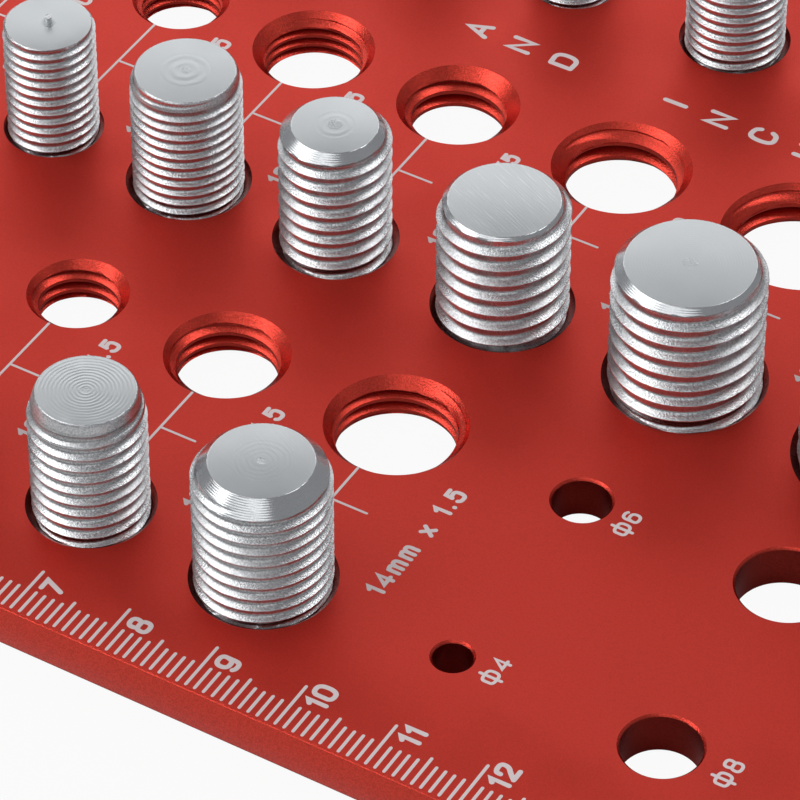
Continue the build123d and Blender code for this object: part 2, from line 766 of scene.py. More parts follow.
class Paints:
    """Makes and keeps the materials."""

    def __init__(self) -> None:
        """Makes the groups that the materials share."""
        self.grain = make_grain()
        self.turning = make_turning()
        self.made: dict[str, bpy.types.Material] = {}

    def surface(self, name: str, finish: Finish, end: EndLook | None = None) -> bpy.types.Material:
        """Makes a material, or gives it again.

        Args:
            name: The material's name.
            finish: Its look.
            end: The turning marks, on a stud's end.

        Returns:
            The material.
        """
        if name not in self.made:
            self.made[name] = self.make(name, finish, end)
        return self.made[name]

    def make(self, name: str, finish: Finish, end: EndLook | None) -> bpy.types.Material:
        """Makes a material.

        Args:
            name: The material's name.
            finish: Its look.
            end: The turning marks, on a stud's end.

        Returns:
            The material.
        """
        material = bpy.data.materials.new(name)
        material.use_nodes = True
        tree = NodeTree(material.node_tree)
        place = tree.scaled(tree.add("TexCoord").outputs["Object"], 1 / MM)
        grain = self.grain.use(
            tree, place=place, size=finish.grain_size, height=finish.grain_height,
            blotch_size=finish.blotch_size,
        ).outputs
        height = grain["Height"]
        base = (*finish.base, 1.0)
        if finish.speckle:
            shade = self.shade(tree, finish, grain["Speckle"])
            if end is not None:
                local = tree.add("Attribute", attribute_name=PLACE_LAYER).outputs["Vector"]
                turning = self.turning.use(tree, local=local, **asdict(end.value)).outputs
                height = tree.math("ADD", height, turning["Height"])
                scratched = tree.ramp(turning["Scratch"], 0.0, 1.0, 1.0, SCRATCH_SHINE)
                shade = tree.math("MULTIPLY", shade, scratched)
            base = tree.scaled(finish.base, shade)
        smooth, rough = finish.roughness - finish.blotch, finish.roughness + finish.blotch
        bump = tree.add("Bump", {"Height": height, "Distance": MM, "Strength": 1.0})
        shader = material.node_tree.nodes["Principled BSDF"]
        tree.put(shader, "Base Color", base)
        tree.put(shader, "Metallic", finish.metallic)
        tree.put(shader, "Roughness", tree.ramp(grain["Blotch"], 0.0, 1.0, smooth, rough))
        tree.put(shader, "Normal", bump.outputs["Normal"])
        return material

    def shade(self, tree: NodeTree, finish: Finish,
              speckle: bpy.types.NodeSocket) -> bpy.types.NodeSocket:
        """Works out how a surface darkens in the pits of its grain, and the painted shade deep in its
        grooves and holes.

        Args:
            tree: The material's tree.
            finish: Its look.
            speckle: 0 in the pits.

        Returns:
            The share of the base colour that is left.
        """
        shade = tree.ramp(speckle, 0.0, 1.0, 1 - finish.speckle, 1.0)
        if finish.root:
            # Painted shade, darkest deep in a groove or hole
            depth = tree.add("Attribute", attribute_name=PAINTED_SHADE_LAYER).outputs["Fac"]
            darker = tree.ramp(depth, GROOVE_SHADE_START, 1.0, 1.0, 1 - finish.root)
            shade = tree.math("MULTIPLY", shade, darker)
        return shade


# Studs


@dataclass(frozen=True)
class StudLook:
    """How a stud and its tapped hole differ in looks from the others.

    The crest is the height over the plate of one of the stud's crests, where it faces the camera.
    The lead is how steeply its first crests grow. The tap's rise is how far up the hole's crests are
    moved. The depth is that of the stud's grooves over their pitch, and the root share is how sharp
    their bottoms are. A bright stud has a turned chamfer, and a near one is in the photograph.
    """

    crest: float = 6.0
    end: EndLook = EndLook.PLAIN
    is_near: bool = False
    lead: float = 1.0
    is_bright: bool = False
    tap_rise: float = 0.0
    depth: float = 0.44
    root_share: float = 0.85


STUD_LOOKS = {
    "m10x1_25": StudLook(7.78, EndLook.NIB, is_near=True, depth=0.40, root_share=0.6),
    "m10x1_5": StudLook(is_near=True, tap_rise=0.5),
    "m12x1_25": StudLook(
        6.30, EndLook.RING_MARK, is_near=True, lead=0.36, tap_rise=0.3, depth=0.40, root_share=0.5
    ),
    "m12x1_75": StudLook(
        7.60, EndLook.PIP, is_near=True, is_bright=True, tap_rise=-0.5, depth=0.42, root_share=0.7
    ),
    "m14x2_0": StudLook(
        8.35, EndLook.SCRATCHED, is_near=True, is_bright=True, tap_rise=-0.2, depth=0.41,
        root_share=0.55,
    ),
    "m16x2_0": StudLook(
        9.02, EndLook.FINE_RINGS, is_near=True, is_bright=True, tap_rise=-0.2, depth=0.39,
        root_share=0.45,
    ),
    "m12x1_5": StudLook(
        6.62, EndLook.WIDE_RINGS, is_near=True, lead=0.30, tap_rise=0.55, depth=0.42, root_share=0.7
    ),
    "m14x1_5": StudLook(
        6.42, EndLook.SWIRL, is_near=True, is_bright=True, depth=0.42, root_share=0.8
    ),
    "3_8_24": StudLook(6.4, is_near=True, depth=0.40, root_share=0.5),
    "7_16_20": StudLook(6.3, is_near=True, depth=0.40, root_share=0.5),
}


class StudSlot(IntEnum):
    """The material slots of a stud."""

    THREAD = 0
    CHAMFER = 1
    END = 2


@dataclass(frozen=True)
class StudForm:
    """Sizes that the studs share, in millimetres, and the steps of a turn."""

    near_steps: int = 112
    far_steps: int = 48
    foot_relief: float = 0.3
    foot_chamfer: float = 0.4
    foot_recess: float = 0.1
    seat_gap: float = 0.06
    land: float = 0.2
    lead_start: float = 0.1
    least_radius: float = 0.5
    rim_bevel: float = 0.05
    wear: float = 0.06
    wear_band: float = 0.06
    wear_grain: tuple[float, float] = (2.6, 1.3)
    cone_slack: float = 0.03
    chamfer_slack: float = 0.1
    end_slack: float = 0.001
    nib_start: float = 0.01
    nib_steps: int = 20
    nib_radius: float = 0.4
    nib_height: float = 0.9
    nib_taper: float = 0.9
    nib_sink: float = 0.02
    nib_wear: float = 0.12
    nib_grain: float = 3.0


@dataclass
class Stud:
    """One threaded stud of the plate."""

    size: ThreadSize
    mount: RoundMount
    seat_rim: float
    top: float
    look: StudLook
    facing: float
    form: StudForm = field(default_factory=StudForm)

    @property
    def node(self) -> str:
        """The node that the stud takes the place of."""
        return f"{STUD}_{self.size.name}"

    @property
    def has_nib(self) -> bool:
        """Whether a parting nib stands on the end."""
        return self.look.end is EndLook.NIB

    @property
    def end_z(self) -> float:
        """Height of the flat end."""
        return self.top - (self.form.nib_height if self.has_nib else 0.0)

    @property
    def face_radius(self) -> float:
        """Radius of the flat end, inside its chamfer."""
        return self.mount.radius - (self.end_z - self.mount.high)

    @property
    def foot_radius(self) -> float:
        """Radius of the plain foot under the thread."""
        return self.mount.radius - self.form.foot_relief

    @property
    def thread_end(self) -> float:
        """Height where the thread ends, down in the seat."""
        return self.mount.low - (self.seat_rim - self.form.seat_gap - self.foot_radius)

    def held_radius(self, radius: float, place: Vector) -> float:
        """Holds a point of the thread inside the end chamfer, the lead and the seat.

        Args:
            radius: The point's radius on the thread.
            place: The point.

        Returns:
            Its radius on the stud.
        """
        down = self.end_z - place.z
        if down < self.form.land:
            radius = max(radius, self.face_radius)
        lead = self.face_radius + self.form.lead_start + self.look.lead * down
        seat = self.seat_rim - self.form.seat_gap - max(self.mount.low - place.z, 0.0)
        return max(min(radius, self.face_radius + down, lead, seat), self.form.least_radius)

    def worn_radius(self, radius: float, place: Vector) -> float:
        """Nibbles at the thread's crests, as a die leaves them.

        Args:
            radius: A point's radius on the thread.
            place: The point.

        Returns:
            Its radius once worn.
        """
        if radius <= self.mount.radius - self.form.wear_band or place.z >= self.mount.high:
            return radius
        across, up = self.form.wear_grain
        spot = Vector((place.x * across, place.y * across, place.z * up + self.mount.x))
        return radius - max(0.0, noise.noise(spot)) * self.form.wear

    def build(self, paints: Paints) -> bpy.types.Object:
        """Builds the stud.

        Args:
            paints: The materials.

        Returns:
            The piece.
        """
        bm = bmesh.new()
        self.add_thread(bm)
        self.close_foot(bm)
        self.close_end(bm)
        bmesh.ops.recalc_face_normals(bm, faces=bm.faces)
        self.set_faces(bm)
        self.store_places(bm)
        bmesh.ops.translate(bm, vec=(self.mount.x, self.mount.y, 0), verts=bm.verts)
        piece = new_piece(f"{self.node}_thread", bm, self.materials(paints))
        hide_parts(self.node)
        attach(piece, "root")
        return piece

    def materials(self, paints: Paints) -> list[bpy.types.Material]:
        """Gives the stud's materials.

        Args:
            paints: The materials.

        Returns:
            Those of the thread, the chamfer and the end.
        """
        thread = paints.surface("zinc_thread", ZINC_THREAD)
        bright = paints.surface("zinc_chamfer", ZINC_CHAMFER, EndLook.CHAMFER)
        end = self.look.end
        return [
            thread,
            bright if self.look.is_bright else thread,
            paints.surface(f"zinc_end_{end.name.lower()}", ZINC_END, end),
        ]

    def add_thread(self, bm: bmesh.types.BMesh) -> None:
        """Adds the threaded wall, trimmed level at both ends.

        Args:
            bm: The stud's mesh.
        """
        thread = cut_thread(self.size, self.look.depth, self.look.root_share)
        profile = thread.profile(
            self.mount.radius, 1, self.thread_end, self.end_z, self.mount.low + self.look.crest
        )
        if self.look.is_near:
            profile = finer(profile)
        steps = self.form.near_steps if self.look.is_near else self.form.far_steps
        wall = sweep(bm, profile, steps, self.size.pitch, self.facing)
        hold_radius(wall, self.held_radius)
        wall = trim(bm, wall, self.end_z, keeps_below=True)
        wall = trim(bm, wall, self.thread_end, keeps_below=False)
        hold_radius(wall, self.worn_radius)

    def close_foot(self, bm: bmesh.types.BMesh) -> None:
        """Adds the plain foot under the thread.

        Args:
            bm: The stud's mesh.
        """
        radius = self.foot_radius
        rim = rim_edges(bm, self.thread_end)
        hold_radius({vert for edge in rim for vert in edge.verts}, lambda *_: radius)
        for low, inset in (
            (self.form.foot_recess + self.form.foot_chamfer, 0.0),
            (self.form.foot_recess, self.form.foot_chamfer),
        ):
            made = bmesh.ops.extrude_edge_only(bm, edges=rim)["geom"]
            verts = [item for item in made if isinstance(item, bmesh.types.BMVert)]
            for vert in verts:
                vert.co.z = low
            hold_radius(verts, lambda *_, inset=inset: radius - inset)
            rim = rim_edges(bm, low)
        bmesh.ops.holes_fill(bm, edges=rim, sides=0)

    def close_end(self, bm: bmesh.types.BMesh) -> None:
        """Caps the stud, and adds the parting nib where there is one.

        Args:
            bm: The stud's mesh.
        """
        rim = rim_edges(bm, self.end_z)
        hold_radius({vert for edge in rim for vert in edge.verts}, lambda *_: self.face_radius)
        bmesh.ops.holes_fill(bm, edges=rim, sides=0)
        bmesh.ops.bevel(
            bm, geom=[edge for edge in rim if edge.is_valid], offset=self.form.rim_bevel,
            segments=2, profile=0.5, affect="EDGES", material=-1,
        )
        if self.has_nib:
            self.add_nib(bm)

    def add_nib(self, bm: bmesh.types.BMesh) -> None:
        """Adds the parting nib, sunk a little into the end and broken off unevenly.

        Args:
            bm: The stud's mesh.
        """
        form = self.form
        middle = self.end_z + form.nib_height / 2 - form.nib_sink / 2
        nib = bmesh.ops.create_cone(
            bm, cap_ends=True, segments=form.nib_steps, radius1=form.nib_radius,
            radius2=form.nib_taper * form.nib_radius, depth=form.nib_height + form.nib_sink,
            matrix=Matrix.Translation((0, 0, middle)),
        )["verts"]
        for vert in nib:
            if vert.co.z > self.end_z:
                vert.co.z -= form.nib_wear * abs(noise.noise(vert.co * form.nib_grain))

    def set_faces(self, bm: bmesh.types.BMesh) -> None:
        """Gives the faces of the chamfer and the end their material slots.

        Args:
            bm: The stud's mesh, about the Z axis.
        """
        for face in bm.faces:
            middle = face.calc_center_median()
            cone = self.face_radius + self.end_z - middle.z
            is_on_cone = math.hypot(middle.x, middle.y) > cone - self.form.cone_slack
            if middle.z > self.end_z + self.form.nib_start:
                face.material_index = StudSlot.THREAD
            elif middle.z > self.end_z - self.form.end_slack:
                face.material_index = StudSlot.END
            elif is_on_cone and middle.z > self.mount.high - self.form.chamfer_slack:
                face.material_index = StudSlot.CHAMFER

    def store_places(self, bm: bmesh.types.BMesh) -> None:
        """Stores each point's place from the end's middle, and its depth in the thread, which sets
        painted shade in the grooves.

        Args:
            bm: The stud's mesh, about the Z axis.
        """
        local = bm.verts.layers.float_vector.new(PLACE_LAYER)
        for vert in bm.verts:
            vert[local] = (vert.co.x, vert.co.y, vert.co.z - self.end_z)
        # Painted shade deep in the grooves, none above the plain wall's top
        deepest = self.look.depth * self.size.pitch
        store_painted_shade(bm, lambda place: (
            (self.mount.radius - place.xy.length) / deepest if place.z < self.mount.high else 0.0
        ))


# Plate


class PlateSlot(IntEnum):
    """The material slots of the plate."""

    FACE = 0
    CUT = 1


@dataclass(frozen=True)
class PlateForm:
    """Sizes of the plate that the record doesn't state, in millimetres, and the steps of a turn. A
    tapped hole's first crest is given as a share of its pitch, and the shade in a gauge hole as a
    share of the full one."""

    corner_radius: float = 3.0
    corner_steps: int = 10
    edge_break: float = 0.3
    seat_clearance: float = 0.03
    near_steps: int = 96
    far_steps: int = 36
    first_crest: float = 0.37
    gauge_shade: float = 0.8
    wall_slack: float = 0.01


@dataclass
class Plate:
    """The plate, with its tapped holes, seats and gauge holes cut. Its box is in millimetres."""

    mounts: dict[str, RoundMount]
    low: Vector
    high: Vector
    form: PlateForm = field(default_factory=PlateForm)

    @property
    def thickness(self) -> float:
        """The plate's thickness."""
        return self.high.z - self.low.z

    def rim(self, hole: RoundMount) -> float:
        """Gives the radius of a hole's countersink at the plate's face.

        Args:
            hole: The hole's plain wall.

        Returns:
            The radius.
        """
        return hole.radius + self.thickness - hole.high

    def build(self, paints: Paints) -> bpy.types.Object:
        """Builds the plate.

        Args:
            paints: The materials.

        Returns:
            The piece.
        """
        bm = bmesh.new()
        self.add_outline(bm)
        bm.normal_update()
        outline = len(bm.faces)
        for name, mount in self.mounts.items():
            kind, size = name.split("_", 1)
            if kind == TAP:
                hole = self.tapped_hole(mount, ThreadSize(size))
            elif kind == STUD:
                hole = self.seat(mount, self.mounts[f"{TAP}_{size}"])
            else:
                hole = self.gauge_hole(mount)
            bmesh.ops.translate(hole, vec=(mount.x, mount.y, 0), verts=hole.verts)
            join(bm, hole)
        for number, face in enumerate(bm.faces):
            is_cut = number >= outline or abs(face.normal.z) > SLOPED_NORMAL
            face.material_index = PlateSlot.CUT if is_cut else PlateSlot.FACE
        for height in (0.0, self.thickness):
            made = bmesh.ops.triangle_fill(
                bm, use_beauty=True, use_dissolve=False, edges=rim_edges(bm, height)
            )["geom"]
            for item in made:
                if isinstance(item, bmesh.types.BMFace):
                    item.material_index = PlateSlot.FACE
        bmesh.ops.recalc_face_normals(bm, faces=bm.faces)
        piece = new_piece("plate_cut", bm, [
            paints.surface("red_plate", RED_PLATE),
            paints.surface("red_cut", RED_CUT),
        ])
        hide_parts("plate")
        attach(piece, "root")
        return piece

    def add_outline(self, bm: bmesh.types.BMesh) -> None:
        """Adds the plate's edge, open above and below.

        Args:
            bm: The plate's mesh.
        """
        size = self.high - self.low
        middle = (self.high + self.low) / 2
        bmesh.ops.create_cube(
            bm, size=1.0, matrix=Matrix.Translation(middle) @ Matrix.Diagonal((*size, 1.0))
        )
        upright = [
            edge for edge in bm.edges if abs(edge.verts[0].co.z - edge.verts[1].co.z) > LEVEL
        ]
        bmesh.ops.bevel(
            bm, geom=upright, offset=self.form.corner_radius, segments=self.form.corner_steps,
            profile=0.5, affect="EDGES", material=-1,
        )
        flat = [face for face in bm.faces if abs(face.normal.z) > LEVEL_NORMAL]
        rims = {edge for face in flat for edge in face.edges}
        bmesh.ops.bevel(
            bm, geom=list(rims), offset=self.form.edge_break, segments=2, profile=0.5,
            affect="EDGES", material=-1,
        )
        flat = [face for face in bm.faces if abs(face.normal.z) > LEVEL_NORMAL]
        bmesh.ops.delete(bm, geom=flat, context="FACES_ONLY")

    def tapped_hole(self, mount: RoundMount, size: ThreadSize) -> bmesh.types.BMesh:
        """Makes a tapped hole, countersunk on both faces.

        Args:
            mount: The hole's plain wall.
            size: Its thread.

        Returns:
            The hole's wall, about the Z axis.
        """
        look = STUD_LOOKS.get(size.name, StudLook())
        is_fine = look.is_near and size.is_metric
        rim = self.rim(mount)
        back_rim = mount.radius + mount.low

        def plain(place: Vector) -> float:
            """Gives the hole's radius at a place, without its thread."""
            return max(rim - (self.thickness - place.z), back_rim - place.z, mount.radius)

        thread = tapped_thread(size)
        crest = self.form.first_crest * size.pitch + look.tap_rise
        profile = thread.profile(mount.radius, -1, 0.0, self.thickness, crest)
        if is_fine:
            profile = finer(profile)
        bm = bmesh.new()
        steps = self.form.near_steps if is_fine else self.form.far_steps
        wall = sweep(bm, profile, steps, size.pitch)
        hold_radius(wall, lambda radius, place: max(radius, plain(place)))
        wall = trim(bm, wall, self.thickness, keeps_below=True)
        trim(bm, wall, 0.0, keeps_below=False)
        # Painted shade deep in the thread's grooves
        store_painted_shade(bm, lambda place: (place.xy.length - plain(place)) / thread.depth)
        return bm

    def seat(self, stud: RoundMount, tap: RoundMount) -> bmesh.types.BMesh:
        """Makes the seat of a stud, countersunk on top.

        Args:
            stud: The stud's wall.
            tap: The tapped hole of the same size, whose rim the seat shares.

        Returns:
            The seat's wall, about the Z axis.
        """
        radius = stud.radius - StudForm.foot_relief + self.form.seat_clearance
        rim = self.rim(tap)
        profile = [
            (radius, 0.0), (radius, self.thickness - (rim - radius)), (rim, self.thickness)
        ]
        bm = bmesh.new()
        sweep(bm, profile, self.form.near_steps)
        # The whole seat takes the full painted shade, a dark ring round the stud's foot
        store_painted_shade(bm, lambda _: 1.0)
        return bm

    def gauge_hole(self, mount: RoundMount) -> bmesh.types.BMesh:
        """Makes a plain gauge hole with both rims broken.

        Args:
            mount: The hole's wall.

        Returns:
            The wall, about the Z axis.
        """
        rim = mount.radius + mount.low
        profile = [
            (rim, 0.0), (mount.radius, mount.low), (mount.radius, mount.high), (rim, self.thickness)
        ]
        bm = bmesh.new()
        sweep(bm, profile, self.form.near_steps)
        # Painted shade on the plain wall, none on the broken rims
        shade, wall = self.form.gauge_shade, mount.radius + self.form.wall_slack
        store_painted_shade(bm, lambda place: shade if place.xy.length < wall else 0.0)
        return bm


# Marks

DIAMETER_SIGN = "o"
GRID_HEIGHT = 6
CORNER_CUTS = 3


@dataclass(frozen=True)
class Stroke:
    """One stroke of a character, on the grid of the characters."""

    points: tuple[Point, ...]
    is_round: bool = False

    def line(self) -> list[Point]:
        """The stroke's middle line.

        Returns:
            Its points, with the corners cut where it is round.
        """
        line = list(self.points)
        if not self.is_round:
            return line
        for _ in range(CORNER_CUTS):
            cut = [
                ((1 - share) * x0 + share * x1, (1 - share) * y0 + share * y1)
                for (x0, y0), (x1, y1) in zip(line, line[1:])
                for share in (0.25, 0.75)
            ]
            line = [line[0], *cut, line[-1]]
        return line


def straight(*points: Point) -> Stroke:
    """Makes a stroke of straight parts.

    Args:
        points: Its corners.

    Returns:
        The stroke.
    """
    return Stroke(points)


def curved(*points: Point) -> Stroke:
    """Makes a round stroke.

    Args:
        points: The corners that it rounds.

    Returns:
        The stroke.
    """
    return Stroke(points, True)


SIX = ((3.6, 5.5), (2.6, 6.3), (0.0, 6.0), (0.0, 2.6), (0.0, -0.2), (4.0, -0.2), (4.0, 3.7),
       (0.6, 3.9), (0.1, 2.2))
# Width and strokes of each character
GLYPHS: dict[str, tuple[float, tuple[Stroke, ...]]] = {
    " ": (2.6, ()),
    "0": (4.0, (curved((0, 3), (0, 6.2), (4, 6.2), (4, -0.2), (0, -0.2), (0, 3)),)),
    "1": (1.6, (straight((0, 4.9), (1.3, 6), (1.3, 0)),)),
    "2": (3.8, (curved((0.1, 4.4), (0.2, 6.2), (3.8, 6.4), (3.8, 3.7), (2.0, 2.2), (0, 0)),
                straight((0, 0), (3.8, 0)))),
    "3": (3.8, (curved((0.2, 5.2), (0.8, 6.3), (3.6, 6.3), (3.6, 3.2), (1.5, 3.2)),
                curved((1.5, 3.2), (3.9, 3.4), (3.9, -0.3), (0.6, -0.3), (0, 0.9)))),
    "4": (4.2, (straight((3.1, 0), (3.1, 6), (0, 1.6), (4.2, 1.6)),)),
    "5": (3.9, (straight((3.6, 6), (0.7, 6), (0.4, 3.3)),
                curved((0.4, 3.3), (1.2, 4.1), (4.0, 4.2), (4.0, -0.3), (0.7, -0.3), (0, 0.9)))),
    "6": (4.0, (curved(*SIX),)),
    "7": (3.7, (straight((0, 6), (3.7, 6), (1.2, 0)),)),
    "8": (3.9, (curved((2, 3.2), (0.3, 3.2), (0.2, 6.2), (3.7, 6.2), (3.6, 3.2), (2, 3.2)),
                curved((2, 3.2), (0, 3.1), (-0.1, -0.2), (4, -0.2), (3.9, 3.1), (2, 3.2)))),
    "9": (4.0, (curved(*((4 - x, GRID_HEIGHT - y) for x, y in SIX)),)),
    ".": (0.4, (straight((0.2, 0.1), (0.2, 0.3)),)),
    "/": (2.4, (straight((0, -0.4), (2.4, 6.4)),)),
    "#": (4.0, (straight((0.9, 0), (1.5, 6)), straight((2.7, 0), (3.3, 6)),
                straight((0, 2), (3.8, 2)), straight((0.3, 4), (4.1, 4)))),
    '"': (1.4, (straight((0.2, 6.2), (0.2, 4.7)), straight((1.3, 6.2), (1.3, 4.7)))),
    "m": (5.2, (straight((0, 0), (0, 4.2)), curved((0, 2.6), (0.4, 4.5), (2.6, 4.6), (2.6, 0)),
                curved((2.6, 2.6), (3.0, 4.5), (5.2, 4.6), (5.2, 0)))),
    "x": (3.2, (straight((0, 0), (3.2, 4.2)), straight((0, 4.2), (3.2, 0)))),
    DIAMETER_SIGN: (5.6, (curved((0, 3), (0, 5.2), (2.8, 5.6), (5.6, 5.2), (5.6, 0.8), (2.8, 0.4),
                                 (0, 0.8), (0, 3)), straight((2.8, -1.3), (2.8, 7.4)))),
    "A": (4.6, (straight((0, 0), (2.3, 6), (4.6, 0)), straight((0.9, 2), (3.7, 2)))),
    "C": (4.4, (curved((4.4, 4.7), (3.6, 6.3), (0, 6.4), (0, -0.4), (3.6, -0.3), (4.4, 1.3)),)),
    "D": (4.4, (straight((0, 0), (0, 6)), curved((0, 6), (4.5, 6.3), (4.5, -0.3), (0, 0)))),
    "E": (3.8, (straight((3.8, 6), (0, 6), (0, 0), (3.8, 0)), straight((0, 3.1), (3.3, 3.1)))),
    "H": (4.4, (straight((0, 0), (0, 6)), straight((4.4, 0), (4.4, 6)),
                straight((0, 3), (4.4, 3)))),
    "I": (0.2, (straight((0.1, 0), (0.1, 6)),)),
    "M": (5.0, (straight((0, 0), (0, 6), (2.5, 2.2), (5, 6), (5, 0)),)),
    "N": (4.4, (straight((0, 0), (0, 6), (4.4, 0), (4.4, 6)),)),
    "S": (4.2, (curved((4.0, 4.9), (3.4, 6.4), (0.1, 6.5), (0.1, 3.4), (4.1, 2.8), (4.2, -0.4),
                       (0.6, -0.4), (0, 1.1)),)),
}


@dataclass(frozen=True)
class Lettering:
    """A size of lettering, in millimetres."""

    height: float
    stroke: float
    gap: float

    @property
    def unit(self) -> float:
        """The grid's unit."""
        return (self.height - self.stroke) / GRID_HEIGHT

    def scaled(self, scale: float) -> "Lettering":
        """The lettering at another size, with the same stroke.

        Args:
            scale: The other size over this one.

        Returns:
            The new lettering.
        """
        return Lettering(self.height * scale, self.stroke, self.gap * scale)


@dataclass(frozen=True)
class MarkForm:
    """Sizes of the marks, in millimetres, with places from the plate's corner at the ruler's zero."""

    labels: Lettering = Lettering(2.15, 0.46, 0.83)
    digits: Lettering = Lettering(2.5, 0.52, 0.75)
    gauges: Lettering = Lettering(2.05, 0.35, 0.75)
    title: Lettering = Lettering(3.0, 0.58, 0.8)
    tick_start: float = 0.65
    tick_lengths: tuple[float, float, float] = (5.62, 3.67, 2.90)
    tick_width: float = 0.34
    tick_shake: float = 0.05
    shake_grain: Point = (1.7, 3.1)
    corner_gap: float = 0.1
    ruler_length: int = 140
    digit_offset: Point = (2.0, 5.0)
    second_digit_shift: float = 0.88
    rule_width: float = 0.28
    rule_gap: float = 0.1
    branch: float = 4.1
    title_y: float = 100.35
    title_words: tuple[tuple[str, float], ...] = (("MM", 45.1), ("AND", 64.1), ("INCHES", 88.4))
    title_pitch: float = 5.32
    thickness: float = 0.02
    lift: float = 0.010
    layers: int = 4
    layer_step: float = 0.004
    line_rise: float = 0.003
    corner_limit: float = 0.5
    end_steps: int = 6


@dataclass(frozen=True)
class LabelPlace:
    """Where a size is marked beside its pair or gauge hole: how far past the stud's or hole's side,
    how far along from the middle, and how large against the common lettering."""

    gap: float = 3.2
    shift: float = 0.0
    scale: float = 1.0


LABELS = {
    "m10x1_5": LabelPlace(2.3),
    "m12x1_5": LabelPlace(2.8),
    "m14x1_5": LabelPlace(3.4, -0.87),
    "m10x1_25": LabelPlace(3.0, -0.3),
    "m12x1_25": LabelPlace(2.1, 0.0, 0.94),
    "m12x1_75": LabelPlace(3.4, 0.0, 0.92),
    "m14x2_0": LabelPlace(2.9, 0.3, 0.97),
    "m16x2_0": LabelPlace(2.7, 0.8, 0.97),
    "gauge_4": LabelPlace(2.52, 0.41, 0.96),
    "gauge_6": LabelPlace(2.41, -0.66, 0.93),
    "gauge_8": LabelPlace(3.04, 0.10, 0.97),
    "gauge_10": LabelPlace(2.6),
}


